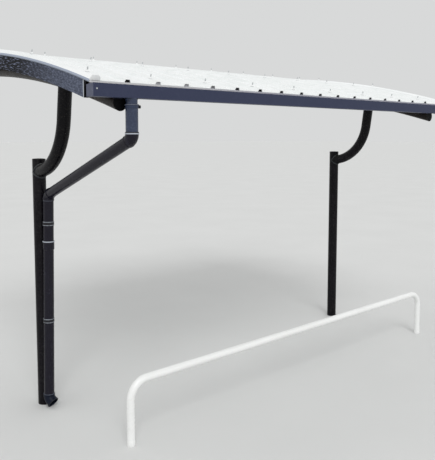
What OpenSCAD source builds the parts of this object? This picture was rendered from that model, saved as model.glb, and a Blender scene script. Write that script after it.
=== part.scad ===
// Cantilever bike shelter: two round posts carry bent arms, curved rafters and an arched ribbed
// sheet roof, with a box gutter, a rainwater pipe and a low guard rail under its front edge.
// Millimetres. X runs along the shelter, Y to its back, Z up. The origin is on the ground,
// at the middle of the near post.

/* [Posts] */
// Distance between the two posts
post_spacing = 2745; // [2200:5:3200]
// Outside diameter of a post
post_d = 76.3; // [75.5:0.1:80]
// Height of a post without its cap
post_h = 1474; // [1450:1:1500]
// Wall of the posts, arms and rafters
tube_wall = 3.2; // [2.3:0.1:4.5]

/* [Arms] */
// Outside diameter of an arm
arm_d = 75; // [60:0.5:75]
// Height at which the arm's axis meets the post's
arm_root_z = 1399.5; // [1390:0.5:1410]
// Rise of the arm where it leaves the post, in degrees
arm_start_angle = 12; // [5:1:20]
// Slope of the arm where it meets the rafter, in degrees
arm_end_angle = 82; // [78:1:88]
// Radius of the arm's bend
arm_bend_r = 340; // [320:5:350]
// Straight length of the arm from the post's axis to its bend
arm_lead = 66; // [60:1:70]

/* [Roof] */
// Radius of the arch, to the underside of the sheet
roof_r = 7600; // [7400:50:7800]
// How far the arch's highest line lies behind the posts
apex_y = 1178; // [1150:1:1200]
// Height of the sheet's underside on that line
apex_z = 2155.4; // [2150:0.1:2160]
// How far the sheet reaches in front of the posts
eave_front = 936; // [930:1:940]
// How far the sheet reaches behind the posts
eave_back = 968; // [940:1:1000]
// How far the roof reaches past each post at the gables
gable_overhang = 175; // [160:1:190]
// Distance between the ribs
rib_pitch = 173.6; // [170:0.1:175]
// Place of the first rib past the near post
rib_start = 23.5; // [15:0.5:30]
// Thickness of the roof sheet
sheet_t = 1.2; // [0.8:0.1:2]
// Height of a rib above the sheet
rib_h = 14; // [10:1:18]
// Width of a rib at its foot
rib_foot = 34; // [28:1:40]
// Width of a rib at its top
rib_top = 22; // [16:1:26]
// Outside diameter of a rafter
rafter_d = 76.3; // [75.5:0.1:76.3]
// Height of a purlin's channel
purlin_h = 50; // [48:1:50]
// Width of a purlin's channel
purlin_w = 30; // [25:1:35]
// Thickness of the purlins
purlin_t = 2.3; // [1.6:0.1:3.2]
// Place of the front purlin, behind the posts where positive
purlin_front_y = -867; // [-870:1:-860]
// Distance between the purlins
purlin_pitch = 590; // [580:1:590]

/* [Edges and gutter] */
// Height of the gable fascia
fascia_h = 86; // [80:1:95]
// Thickness of the folded edge pieces
fold_t = 2.5; // [1.6:0.1:3]
// How far the gable fascia reaches in front of the posts
fascia_front = 884; // [875:1:890]
// How far the gutter's face stands in front of the posts
gutter_front = 968; // [964:1:972]
// Depth of the gutter, front to back
gutter_w = 60; // [58:1:60]
// Height of the gutter
gutter_h = 60; // [56:1:62]
// Height of the gutter's bottom above the ground
gutter_z = 1784; // [1780:1:1786]
// Wall of the gutter
gutter_t = 2; // [1.2:0.1:2.5]

/* [Rainwater pipe] */
// Outside diameter of the pipe
pipe_d = 60; // [56:1:60]
// Wall of the pipe
pipe_t = 2; // [1.5:0.1:2.5]
// Place of the outlet along the shelter
outlet_x = 44; // [40:1:60]
// Height of the pipe's mouth under the gutter
mouth_z = 1757; // [1750:1:1760]
// Height of the upper elbow's corner
elbow_hi_z = 1594; // [1580:1:1600]
// Height of the lower elbow's corner
elbow_lo_z = 1269; // [1260:1:1280]
// Radius of an elbow's bend
elbow_r = 36; // [35:1:45]
// Place of the stack's head along the shelter
stack_head_x = 21; // [0:1:30]
// Place of the stack's foot along the shelter
stack_foot_x = -4; // [-10:1:10]
// Distance between the axes of the stack and the post, front to back
stack_off = 71; // [71:0.5:80]
// Height of the joint between the two lengths of the stack
joint_z = 994; // [900:1:1040]
// Turn of the shoe at the foot of the stack, in degrees
shoe_turn = 55; // [45:1:70]
// Bearing of the shoe from the front towards the far post, in degrees
shoe_bearing = 20; // [0:1:60]

/* [Guard rail] */
// Outside diameter of the rail's tube
rail_d = 42.7; // [34:0.1:48.6]
// Height of the rail's axis
rail_h = 338; // [300:1:400]
// How far the rail stands in front of the posts
rail_front = 776; // [700:1:850]
// Radius of the rail's bends
rail_bend_r = 100; // [90:5:150]
// Place of the near leg along the shelter
rail_x0 = 120; // [80:1:200]
// Place of the far leg along the shelter
rail_x1 = 2874; // [2600:1:2900]

/* [Hidden] */
steel_black = "#232327";
slate = "#4a4c57";
flashing_grey = "#8d9098";
roof_white = "#f1f3f3";
rail_white = "#eef0f0";
pipe_slate = "#4c5563";
// Facets of round tubes, of bends and of the shallow arch
$fn = 64;
bend_fn = 96;
arch_fn = 720;
// Small step past a face for clean cuts
eps = 0.5;
// Play of a pipe in its socket, and of a flat top under the curved sheet
play = 0.1;
seat = 0.02;
// Tubes that continue a bend reach into it by this much, with a small step in their walls
lap = 1;
lap_step = 0.3;

// The arch's axis lies along X at this height, far below the ground
arch_z = apex_z - roof_r;
cleat_t = 8;
rafter_top_r = roof_r - purlin_h - cleat_t;
rafter_r = rafter_top_r - rafter_d / 2;
fascia_bottom_r = roof_r - fascia_h;
sheet_top_r = roof_r + sheet_t;
roof_x0 = -gable_overhang;
roof_x1 = post_spacing + gable_overhang;
// Clear length between the two gable fascias
inner_x0 = roof_x0 + fold_t;
inner_x1 = roof_x1 - fold_t;
// Width of the folds along the bottom of the fascias
fascia_fold = 24;
gutter_back = gutter_front - gutter_w;
purlin_ys = [for (i = [0:3]) purlin_front_y + i * purlin_pitch];

// Angle of the arch at a place y, negative in front of its highest line
function arch_angle(y, r) = asin((y - apex_y) / r);
// Height of the arch of radius r at a place y
function arch_height(y, r) = arch_z + sqrt(r * r - (y - apex_y) * (y - apex_y));

// Sweeps a profile of (radius, X) along the arch, from y0 back to y1 at radius r
module along_arch(y0, y1, r) {
    front = arch_angle(y0, r);
    back = arch_angle(y1, r);
    translate([0, apex_y, arch_z])
        rotate([90, 0, 90])
            rotate([0, 0, 90 - front])
                rotate_extrude(angle = front - back, $fn = arch_fn)
                    children();
}

// Stands children on the arch: local Z is the outward radius, with the arch's axis at its zero
module at_arch(y, r) {
    translate([0, apex_y, arch_z])
        rotate([-arch_angle(y, r), 0, 0])
            children();
}

// Stretches a profile of (Y, Z) along the shelter
module along_x(x0, x1) {
    translate([x0, 0, 0])
        rotate([90, 0, 90])
            linear_extrude(x1 - x0)
                children();
}

module ring(d, t) {
    difference() {
        circle(d = d);
        circle(d = d - 2 * t);
    }
}

module pipe(d, t, l) {
    linear_extrude(l)
        ring(d, t);
}

// A bend of a ring in the XY plane, starting on the X axis and turning towards Y
module bend(r, d, t, a) {
    rotate_extrude(angle = a, $fn = bend_fn)
        translate([r, 0])
            ring(d, t);
}

module mirrored_gable() {
    translate([post_spacing, 0, 0])
        mirror([1, 0, 0])
            children();
}

// Posts: tubes closed by a flat foot
module post(x) {
    foot_t = 6;
    bore_r = post_d / 2 - tube_wall;
    translate([x, 0, 0])
        rotate_extrude()
            polygon([
                [0, 0], [post_d / 2, 0], [post_d / 2, post_h],
                [bore_r, post_h], [bore_r, foot_t], [0, foot_t]
            ]);
}

// Cap with a low crown and a skirt that plugs the post
module post_cap(x) {
    edge = 2;
    shoulder = 3.6;
    crown = 6;
    skirt = 18;
    skirt_t = 2;
    bore_r = post_d / 2 - tube_wall - play;
    translate([x, 0, post_h])
        rotate_extrude()
            polygon([
                [0, crown], [post_d / 4, crown - 0.8], [post_d / 2 - 3, shoulder],
                [post_d / 2, edge], [post_d / 2, 0], [bore_r, 0], [bore_r, -skirt],
                [bore_r - skirt_t, -skirt], [bore_r - skirt_t, 0], [0, 0]
            ]);
}

// Arms: lead out of the post, bend and rise, coped to the post and to the rafter
arm_turn = arm_end_angle - arm_start_angle;
arm_bend_end_y = -(arm_lead * cos(arm_start_angle)
    + arm_bend_r * (sin(arm_end_angle) - sin(arm_start_angle)));
arm_bend_end_z = arm_root_z + arm_lead * sin(arm_start_angle)
    + arm_bend_r * (cos(arm_start_angle) - cos(arm_end_angle));
// Rise from the end of the bend to the rafter's axis, and where the two axes cross
arm_climb = arch_height(arm_bend_end_y, rafter_r) - arm_bend_end_z;
arm_join_y = arm_bend_end_y - arm_climb / tan(arm_end_angle);

module arm_path() {
    spare = 40;
    translate([0, 0, arm_root_z])
        rotate([90 - arm_start_angle, 0, 0]) {
            pipe(arm_d + 2 * lap_step, tube_wall + 2 * lap_step, arm_lead + lap);
            translate([0, arm_bend_r, arm_lead]) {
                rotate([0, 90, 0])
                    rotate([0, 0, -90])
                        bend(arm_bend_r, arm_d, tube_wall, -arm_turn);
                rotate([-arm_turn, 0, 0])
                    translate([0, -arm_bend_r, -lap])
                        pipe(arm_d + 2 * lap_step, tube_wall + 2 * lap_step, arm_climb + spare);
            }
        }
}

module arm(x) {
    reach = 150;
    translate([x, 0, 0])
        difference() {
            arm_path();
            translate([0, 0, arm_root_z - reach])
                cylinder(d = post_d, h = 2 * reach);
            along_arch(arm_join_y - reach, arm_join_y + reach, rafter_r)
                translate([rafter_r, 0])
                    circle(d = rafter_d);
            at_arch(arm_join_y, rafter_r)
                translate([-reach / 2, -reach, rafter_r])
                    cube([reach, 2 * reach, reach]);
        }
}

// Rafters: round tubes bent to the arch, cut plumb just behind the gutter and square before the
// back fascia
rafter_y0 = -(gutter_back - 1);
rafter_y1 = eave_back - fold_t - fascia_fold - 4;

// Takes off what a bent tube reaches in front of the plumb cut
module plumb_cut(x) {
    reach = 60;
    difference() {
        children();
        translate([x - rafter_d, rafter_y0 - 2 * reach, arch_height(rafter_y0, rafter_r) - 2 * reach])
            cube([2 * rafter_d, 2 * reach, 4 * reach]);
    }
}

module rafter(x) {
    plumb_cut(x)
        along_arch(rafter_y0 - rafter_d / 3, rafter_y1, rafter_r)
            translate([rafter_r, x])
                ring(rafter_d, tube_wall);
}

// Plugs close both ends of a rafter, flush with its tube
module rafter_plugs(x) {
    depth = 14;
    plug_d = rafter_d - 2 * tube_wall - 2 * play;
    plumb_cut(x)
        along_arch(rafter_y0 - rafter_d / 3, rafter_y0 + depth + rafter_d / 6, rafter_r)
            translate([rafter_r, x])
                circle(d = plug_d);
    along_arch(rafter_y1 - depth, rafter_y1, rafter_r)
        translate([rafter_r, x])
            circle(d = plug_d);
}

// Saddle cleats carry the purlins on the round rafters
module cleats(x) {
    cleat_w = 50;
    cleat_l = 44;
    saddle = 9;
    for (y = purlin_ys)
        at_arch(y, rafter_r)
            difference() {
                translate([x - cleat_w / 2, -cleat_l / 2, rafter_top_r - saddle])
                    cube([cleat_w, cleat_l, saddle + cleat_t - seat]);
                translate([x, 0, rafter_r])
                    rotate([90, 0, 0])
                        cylinder(d = rafter_d, h = 2 * cleat_l, center = true);
            }
}

// Purlins: lipped channels, open to the back, from gable to gable
module purlin(y) {
    lip = 10;
    w = purlin_w;
    h = purlin_h;
    t = purlin_t;
    at_arch(y, roof_r)
        translate([inner_x0, -w / 2, roof_r - h - seat])
            rotate([90, 0, 90])
                linear_extrude(inner_x1 - inner_x0)
                    polygon([
                        [0, 0], [w, 0], [w, lip], [w - t, lip], [w - t, t], [t, t],
                        [t, h - t], [w - t, h - t], [w - t, h - lip], [w, h - lip], [w, h], [0, h]
                    ]);
}

// Roof sheets: pans with trapezoid ribs, bent to the arch
// One rib of the sheet's section as points of (radius, X), for a rib at x
function rib_points(x, r, grow) = [
    [r, x - rib_foot / 2 + grow], [r + rib_h, x - rib_top / 2 + grow],
    [r + rib_h, x + rib_top / 2 - grow], [r, x + rib_foot / 2 - grow]
];

// Section from x0 to x1 with its ribs; a small upstand stiffens a gable edge
module sheet_section(x0, x1, ribs, up0, up1) {
    upstand = 4;
    slant = sheet_t * 0.35;
    top = [for (x = ribs) each rib_points(x, sheet_top_r, -slant)];
    low = [for (i = [len(ribs) - 1:-1:0]) each [
        for (k = [3:-1:0]) rib_points(ribs[i], roof_r, sheet_t - slant)[k]
    ]];
    polygon(concat([[sheet_top_r, x0]], top, [[sheet_top_r, x1], [roof_r, x1]], low, [[roof_r, x0]]));
    if (up0)
        translate([roof_r, x0])
            square([upstand, sheet_t]);
    if (up1)
        translate([roof_r, x1 - sheet_t])
            square([upstand, sheet_t]);
}

// Six ribs to a sheet; the first rib lies under the near gable flashing, and each inner seam
// at the foot of a rib
sheet_inset = 1;
sheet_ribs = 6;
rib_xs = [for (k = [0:3 * sheet_ribs - 1]) rib_start + (k - 1) * rib_pitch];
seam_shift = rib_foot / 2 + 2;
sheet_edges = [
    roof_x0 + sheet_inset, rib_xs[sheet_ribs - 1] + seam_shift,
    rib_xs[2 * sheet_ribs - 1] + seam_shift, roof_x1 - sheet_inset
];

module roof_sheet(i) {
    ribs = [for (k = [0:sheet_ribs - 1]) rib_xs[i * sheet_ribs + k]];
    along_arch(-eave_front, eave_back, roof_r)
        sheet_section(sheet_edges[i], sheet_edges[i + 1], ribs, i == 0, i == 2);
}

// Gable fascias: an arched web with a folded bottom and a folded front end
module gable_fascia() {
    end_fold = 22;
    end_h = 46;
    fold_y1 = eave_back - fold_t - fascia_fold - 1;
    along_arch(-fascia_front, eave_back, fascia_bottom_r)
        translate([fascia_bottom_r, roof_x0])
            square([fascia_h, fold_t]);
    along_arch(-fascia_front, fold_y1, fascia_bottom_r)
        translate([fascia_bottom_r, roof_x0])
            square([fold_t, fascia_fold]);
    along_arch(-fascia_front, -fascia_front + fold_t, fascia_bottom_r)
        translate([fascia_bottom_r, roof_x0])
            square([end_h, end_fold]);
}

// Gable flashings: a low hat section over the sheet's edge and its first rib, its outer leg over
// the fascia
flashing_w = 54;

module gable_flashing() {
    outer_low_r = roof_r - 8;
    shoulder_r = roof_r + 5;
    crown_r = roof_r + 25;
    t = 1.6;
    slope_w = 13;
    chamfer = 9;
    corner = t / 2;
    w = flashing_w;
    along_arch(-eave_front, eave_back, roof_r)
        translate([0, roof_x0])
            polygon([
                [outer_low_r, -t], [shoulder_r, -t], [crown_r, slope_w - t],
                [crown_r, w - chamfer], [crown_r - chamfer, w], [sheet_top_r, w],
                [sheet_top_r, w - t], [crown_r - chamfer - corner, w - t],
                [crown_r - t, w - chamfer - corner], [crown_r - t, slope_w - corner],
                [shoulder_r - corner, 0], [outer_low_r, 0]
            ]);
}

// Closes the back edge below the sheet, between the gables
module back_fascia() {
    y = eave_back - fold_t;
    z0 = arch_height(y, fascia_bottom_r);
    z1 = arch_height(eave_back, roof_r) - 2 * fold_t * tan(-arch_angle(eave_back, roof_r));
    along_x(inner_x0, inner_x1)
        polygon([
            [y + fold_t, z0], [y + fold_t, z1], [y, z1], [y, z0 + fold_t],
            [y - fascia_fold, z0 + fold_t], [y - fascia_fold, z0]
        ]);
}

// Lies on the ribs along the back edge and turns down over the fascia
module back_flashing() {
    top_w = 70;
    fall = 2;
    drop = 14;
    t = 1.6;
    z1 = arch_height(eave_back, sheet_top_r + rib_h);
    z0 = arch_height(eave_back, roof_r) - drop;
    along_x(roof_x0 + flashing_w, roof_x1 - flashing_w)
        polygon([
            [eave_back + t, z0], [eave_back + t, z1 + t], [eave_back - top_w, z1 + t - fall],
            [eave_back - top_w, z1 - fall], [eave_back, z1], [eave_back, z0]
        ]);
}

// Drip strip under the front edge of the sheet
module eave_trim() {
    depth = 46;
    drop = 10;
    t = 1.5;
    length = inner_x1 - inner_x0;
    along_arch(-eave_front, -eave_front + depth, roof_r)
        translate([roof_r - t, inner_x0])
            square([t, length]);
    along_arch(-eave_front, -eave_front + t, roof_r)
        translate([roof_r - drop, inner_x0])
            square([drop - t / 2, length]);
}

// Box gutter: an open channel whose front edge is folded back
gutter_back_drop = 6;
outlet_bore = pipe_d - 12;
outlet_y = -gutter_front + gutter_w / 2;
cap_t = 2;

module gutter() {
    lip = 10;
    t = gutter_t;
    y0 = -gutter_front;
    y1 = -gutter_back;
    z0 = gutter_z;
    z1 = gutter_z + gutter_h;
    difference() {
        along_x(roof_x0 + cap_t, roof_x1 - cap_t)
            polygon([
                [y0, z0], [y0, z1], [y0 + lip, z1], [y0 + lip, z1 - t], [y0 + t, z1 - t],
                [y0 + t, z0 + t], [y1 - t, z0 + t], [y1 - t, z1 - gutter_back_drop],
                [y1, z1 - gutter_back_drop], [y1, z0]
            ]);
        translate([outlet_x, outlet_y, gutter_z - eps])
            cylinder(d = outlet_bore, h = gutter_t + 2 * eps);
    }
}

// End cap: a plate with a short sleeve inside the trough
module gutter_cap() {
    sleeve = 22;
    sleeve_t = 1.5;
    sleeve_drop = 8;
    corner = 4;
    y0 = -gutter_front + gutter_t;
    y1 = -gutter_back - gutter_t;
    z0 = gutter_z + gutter_t;
    top = gutter_z + gutter_h - gutter_back_drop;
    along_x(roof_x0, roof_x0 + cap_t)
        polygon([
            [-gutter_front, gutter_z + corner], [-gutter_front + corner, gutter_z],
            [-gutter_back, gutter_z], [-gutter_back, top],
            [-gutter_front + 10, gutter_z + gutter_h], [-gutter_front, gutter_z + gutter_h]
        ]);
    along_x(roof_x0 + cap_t, roof_x0 + cap_t + sleeve)
        polygon([
            [y0, z0], [y1, z0], [y1, top - sleeve_drop], [y1 - sleeve_t, top - sleeve_drop],
            [y1 - sleeve_t, z0 + sleeve_t], [y0 + sleeve_t, z0 + sleeve_t],
            [y0 + sleeve_t, top - sleeve_drop], [y0, top - sleeve_drop]
        ]);
}

// Hangers: bent flat bars, fixed to the front purlin, over the gutter's back wall to its face
hanger_w = 25;
hanger_inset = 120;
hanger_count = 5;
hanger_step = (roof_x1 - roof_x0 - 2 * hanger_inset) / (hanger_count - 1);
hanger_xs = [for (i = [0:hanger_count - 1]) roof_x0 + hanger_inset + i * hanger_step];

module gutter_hangers() {
    t = 3;
    tail = 14;
    phi = arch_angle(purlin_front_y, roof_r);
    // Place in (Y, Z) at a radius r, a distance s in front of the purlin's middle
    at_purlin = function (r, s) [
        apex_y + r * sin(phi) - s * cos(phi),
        arch_z + r * cos(phi) + s * sin(phi)
    ];
    face = purlin_w / 2;
    plate_top = roof_r - 6;
    plate_bottom = roof_r - 44;
    bar_z = gutter_z + gutter_h - gutter_back_drop;
    bar_end = -gutter_front + gutter_t;
    knee = -gutter_back + 12;
    for (x = hanger_xs)
        along_x(x - hanger_w / 2, x + hanger_w / 2)
            polygon([
                at_purlin(plate_top, face), at_purlin(plate_top, face + t),
                [knee, bar_z + t], [bar_end, bar_z + t], [bar_end, bar_z - tail],
                [bar_end + t, bar_z - tail], [bar_end + t, bar_z], [knee + 1, bar_z],
                at_purlin(plate_top - t, face + t), at_purlin(plate_bottom, face + t),
                at_purlin(plate_bottom, face)
            ]);
}

// Rainwater pipe: outlet, drop, run back to the post, stack down the post, shoe
// Corners of the pipe's axis, from the gutter down
corner_hi = [outlet_x, outlet_y, elbow_hi_z];
corner_lo = [stack_head_x, -stack_off, elbow_lo_z];
corner_foot = [stack_foot_x, -stack_off, 54];
// The stack leans a little along the shelter
stack_l = norm(corner_lo - corner_foot);
stack_lean = asin((stack_head_x - stack_foot_x) / stack_l);
// A direction seen in the leaning stack's own frame
function leaned(v) = [
    v.x * cos(stack_lean) - v.z * sin(stack_lean), v.y,
    v.x * sin(stack_lean) + v.z * cos(stack_lean)
];
function bearing(v) = atan2(v.x, v.y);
function slope(v) = atan(-v.z / norm([v.x, v.y]));
function elbow_reach(turn) = elbow_r * tan(turn / 2);
run = corner_lo - corner_hi;
run_leaned = leaned(run);
turn_hi = 90 - slope(run);
turn_lo = 90 - slope(run_leaned);
elbow_d = pipe_d + 4;
socket_d = pipe_d + 6;
socket_l = 8;

// The stack's frame, with its origin on the shoe's corner
module at_stack(z) {
    translate(corner_foot)
        rotate([0, stack_lean, 0])
            translate([0, 0, z])
                children();
}

// Spigot under the gutter, into the mouth of the pipe
module outlet() {
    spigot_r = pipe_d / 2 - pipe_t - play;
    flange_t = 5;
    neck = 8;
    length = 44;
    translate([outlet_x, outlet_y, gutter_z])
        rotate([180, 0, 0])
            rotate_extrude()
                polygon([
                    [outlet_bore / 2, 0], [pipe_d / 2, 0], [pipe_d / 2, flange_t],
                    [spigot_r, neck], [spigot_r, length], [outlet_bore / 2, length]
                ]);
}

// Band round the mouth of the pipe, with an ear for its bolt
module outlet_band() {
    band_t = 2;
    band_h = 15;
    below_mouth = 4;
    ear_l = 17;
    ear_w = 9;
    translate([outlet_x, outlet_y, mouth_z - below_mouth - band_h])
        difference() {
            union() {
                cylinder(d = pipe_d + 2 * band_t, h = band_h);
                translate([pipe_d / 2, -ear_w / 2, 0])
                    cube([ear_l, ear_w, band_h]);
            }
            translate([0, 0, -eps])
                cylinder(d = pipe_d, h = band_h + 2 * eps);
        }
}

// Straight pipe from the outlet to the upper elbow, with a rim at its mouth
module pipe_drop() {
    rim = 1.5;
    rim_h = 3;
    z0 = elbow_hi_z + elbow_reach(turn_hi);
    h = mouth_z - z0;
    translate([outlet_x, outlet_y, z0])
        rotate_extrude()
            polygon([
                [pipe_d / 2 - pipe_t, 0], [pipe_d / 2, 0], [pipe_d / 2, h - rim_h],
                [pipe_d / 2 + rim, h - rim_h], [pipe_d / 2 + rim, h], [pipe_d / 2 - pipe_t, h]
            ]);
}

// Bend of an elbow that comes down and leaves along +Y; its corner is at the origin
module elbow_bend(turn) {
    translate([0, elbow_r, elbow_reach(turn)])
        rotate([0, 90, 0])
            rotate([0, 0, -90])
                bend(elbow_r, elbow_d, (elbow_d - pipe_d) / 2 + pipe_t, turn);
}

// Sleeve on one end of an elbow, round the end of a pipe
module elbow_sleeve(turn) {
    translate([0, 0, elbow_reach(turn) - lap])
        pipe(socket_d, (socket_d - pipe_d) / 2 - play, socket_l + lap);
}

module elbow(turn) {
    elbow_bend(turn);
    elbow_sleeve(turn);
    rotate([turn - 180, 0, 0])
        elbow_sleeve(turn);
}

module elbow_upper() {
    translate(corner_hi)
        rotate([0, 0, -bearing(run)])
            elbow(turn_hi);
}

module pipe_run() {
    translate(corner_hi)
        rotate([0, 0, -bearing(run)])
            rotate([turn_hi - 180, 0, 0])
                translate([0, 0, elbow_reach(turn_hi)])
                    pipe(pipe_d, pipe_t, norm(run) - elbow_reach(turn_hi) - elbow_reach(turn_lo));
}

module elbow_lower() {
    at_stack(stack_l)
        rotate([0, 0, -bearing(run_leaned)])
            rotate([180, 0, 0])
                elbow(turn_lo);
}

// The two lengths of the stack; the lower one ends in a bell that holds the upper one
bell_depth = 44;
bell_top = joint_z - corner_foot.z;

module pipe_stack_upper() {
    z0 = bell_top - bell_depth;
    at_stack(z0)
        pipe(pipe_d, pipe_t, stack_l - elbow_reach(turn_lo) - z0);
}

module pipe_stack_lower() {
    bore_r = pipe_d / 2 - pipe_t;
    r = pipe_d / 2;
    z0 = elbow_reach(shoe_turn);
    z1 = bell_top - bell_depth;
    at_stack(0)
        rotate_extrude()
            polygon([
                [bore_r, z0], [r, z0], [r, z1 - 4], [socket_d / 2, z1], [socket_d / 2, bell_top],
                [r + play, bell_top], [r + play, z1], [bore_r, z1]
            ]);
}

// The shoe turns the water away from the post; its spout ends in a wider rim
module pipe_shoe() {
    spout = 22;
    rim_l = 8;
    rim = 2;
    outer_r = elbow_d / 2 + lap_step;
    bore_r = pipe_d / 2 - pipe_t - lap_step;
    at_stack(0)
        rotate([0, 0, shoe_bearing - 180]) {
            elbow_bend(shoe_turn);
            elbow_sleeve(shoe_turn);
            rotate([shoe_turn - 180, 0, 0])
                translate([0, 0, elbow_reach(shoe_turn)])
                    rotate_extrude()
                        polygon([
                            [bore_r, -lap], [outer_r, -lap], [outer_r, spout - rim_l],
                            [outer_r + rim, spout - rim_l], [outer_r + rim, spout], [bore_r, spout]
                        ]);
        }
}

// Clamps: a band round the pipe on a foot that fits the post's face
clamp_zs = [515, 1090];

module pipe_clamps() {
    band_h = 23;
    band_t = 2;
    foot_w = 26;
    foot_h = 17;
    // How far the foot reaches beyond the nearest line of the post
    wrap = post_d / 2 - sqrt(post_d * post_d / 4 - foot_w * foot_w / 4);
    for (z = clamp_zs) {
        x = stack_foot_x + (z - corner_foot.z) * tan(stack_lean);
        foot_l = norm([x, stack_off]) - post_d / 2 + wrap;
        difference() {
            at_stack(z - corner_foot.z)
                difference() {
                    union() {
                        cylinder(d = pipe_d + 2 * band_t, h = band_h);
                        rotate([0, 0, -bearing([-x, stack_off, 0])])
                            translate([-foot_w / 2, 0, (band_h - foot_h) / 2])
                                cube([foot_w, foot_l, foot_h]);
                    }
                    translate([0, 0, -eps])
                        cylinder(d = pipe_d, h = band_h + 2 * eps);
                }
            translate([0, 0, z - band_h])
                cylinder(d = post_d, h = 3 * band_h);
        }
    }
}

// Guard rail: one bent tube, its legs closed by flat feet
module guard_rail() {
    wall = 2.3;
    foot_t = 4;
    leg = rail_h - rail_bend_r;
    span = rail_x1 - rail_x0 - 2 * rail_bend_r;
    translate([0, -rail_front, 0]) {
        for (x = [rail_x0, rail_x1])
            translate([x, 0, 0]) {
                pipe(rail_d, wall, leg);
                cylinder(d = rail_d - wall, h = foot_t);
            }
        translate([rail_x0 + rail_bend_r, 0, leg])
            rotate([90, 0, 0])
                rotate([0, 0, 90])
                    bend(rail_bend_r, rail_d, wall, 90);
        translate([rail_x1 - rail_bend_r, 0, leg])
            rotate([90, 0, 0])
                bend(rail_bend_r, rail_d, wall, 90);
        translate([rail_x0 + rail_bend_r, 0, rail_h])
            rotate([0, 90, 0])
                pipe(rail_d, wall, span);
    }
}

color(steel_black) post(0);  // post_near
color(steel_black) post(post_spacing);  // post_far
color(steel_black) post_cap(0);  // post_cap_near
color(steel_black) post_cap(post_spacing);  // post_cap_far
color(steel_black) arm(0);  // arm_near
color(steel_black) arm(post_spacing);  // arm_far
color(steel_black) rafter(0);  // rafter_near
color(steel_black) rafter(post_spacing);  // rafter_far
color(steel_black) rafter_plugs(0);  // rafter_plugs_near
color(steel_black) rafter_plugs(post_spacing);  // rafter_plugs_far
color(steel_black) cleats(0);  // cleats_near
color(steel_black) cleats(post_spacing);  // cleats_far
color(steel_black) purlin(purlin_ys[0]);  // purlin_front
color(steel_black) purlin(purlin_ys[1]);  // purlin_mid_front
color(steel_black) purlin(purlin_ys[2]);  // purlin_mid_back
color(steel_black) purlin(purlin_ys[3]);  // purlin_back
color(roof_white) roof_sheet(0);  // roof_sheet_near
color(roof_white) roof_sheet(1);  // roof_sheet_middle
color(roof_white) roof_sheet(2);  // roof_sheet_far
color(slate) gable_fascia();  // gable_fascia_near
color(slate) mirrored_gable() gable_fascia();  // gable_fascia_far
color(flashing_grey) gable_flashing();  // gable_flashing_near
color(flashing_grey) mirrored_gable() gable_flashing();  // gable_flashing_far
color(slate) back_fascia();
color(flashing_grey) back_flashing();
color(flashing_grey) eave_trim();
color(slate) gutter();
color(flashing_grey) gutter_cap();  // gutter_cap_near
color(flashing_grey) mirrored_gable() gutter_cap();  // gutter_cap_far
color(steel_black) gutter_hangers();
color(pipe_slate) outlet();
color(steel_black) outlet_band();
color(pipe_slate) pipe_drop();
color(steel_black) elbow_upper();
color(steel_black) pipe_run();
color(steel_black) elbow_lower();
color(steel_black) pipe_stack_upper();
color(steel_black) pipe_stack_lower();
color(steel_black) pipe_shoe();
color(steel_black) pipe_clamps();
color(rail_white) guard_rail();
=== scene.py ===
import math

import bmesh
import bpy
from mathutils import Matrix, Vector


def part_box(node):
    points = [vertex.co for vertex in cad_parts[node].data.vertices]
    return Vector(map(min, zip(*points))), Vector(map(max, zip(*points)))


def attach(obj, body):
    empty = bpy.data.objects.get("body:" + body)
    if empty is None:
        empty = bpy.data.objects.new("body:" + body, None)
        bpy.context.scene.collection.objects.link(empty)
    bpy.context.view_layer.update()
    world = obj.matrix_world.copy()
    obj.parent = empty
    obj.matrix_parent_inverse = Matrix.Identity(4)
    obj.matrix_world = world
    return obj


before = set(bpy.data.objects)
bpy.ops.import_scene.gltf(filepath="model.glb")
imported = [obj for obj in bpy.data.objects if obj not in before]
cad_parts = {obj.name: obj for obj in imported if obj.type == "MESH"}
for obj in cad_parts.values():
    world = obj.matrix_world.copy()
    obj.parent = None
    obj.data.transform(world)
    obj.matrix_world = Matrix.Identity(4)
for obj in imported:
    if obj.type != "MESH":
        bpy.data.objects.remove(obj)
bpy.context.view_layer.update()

# The shelter's main sizes, in metres, as in the part's own source

# Posts and arms
POST_SPACING = 2.745
POST_R = 0.03815
ARM_R = 0.0378
ARM_ROOT_Z = 1.3995
ARM_START = math.radians(12)
ARM_END = math.radians(82)
ARM_LEAD = 0.066
ARM_BEND_R = 0.340

# The roof's arch, its ribbed sheet and its edges
ROOF_R = 7.600
APEX_Y = 1.178
ARCH_Z = 2.1554 - ROOF_R
SHEET_T = 0.0012
RIBS = 17
RIB_H = 0.014
RIB_FOOT = 0.034
RIB_TOP = 0.022
RIB_PITCH = 0.1736
RIB_START = 0.0235
EAVE_Y = -0.936
BACK_Y = 0.968
GABLE_X = -0.175
FASCIA_FRONT_Y = -0.884
FLASHING_T = 0.0016
FLASHING_W = 0.054
FLASHING_CROWN = 0.025
FLASHING_SHOULDER = 0.005
FLASHING_SLOPE_W = 0.013
FLASHING_CHAMFER = 0.009

# What carries the sheet
PURLIN_H = 0.050
PURLIN_W = 0.030
PURLIN_T = 0.0023
PURLIN_YS = [-0.867 + 0.590 * i for i in range(4)]
CLEAT_T = 0.008
RAFTER_R = ROOF_R - PURLIN_H - CLEAT_T - POST_R

# Gutter and rainwater pipe
GUTTER_Y = -0.968
HANGER_XS = [-0.055 + 0.71375 * i for i in range(5)]
HANGER_T = 0.003
OUTLET_X = 0.044
OUTLET_Y = -0.938
PIPE_R = 0.030
SOCKET_R = 0.033
MOUTH_Z = 1.757
STACK_FOOT = Vector((-0.004, -0.071, 0.054))
STACK_HEAD = Vector((0.021, -0.071, 1.269))
BELL_TOP = 0.994
CLAMP_ZS = (0.515, 1.090)
CLAMP_H = 0.023

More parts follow.
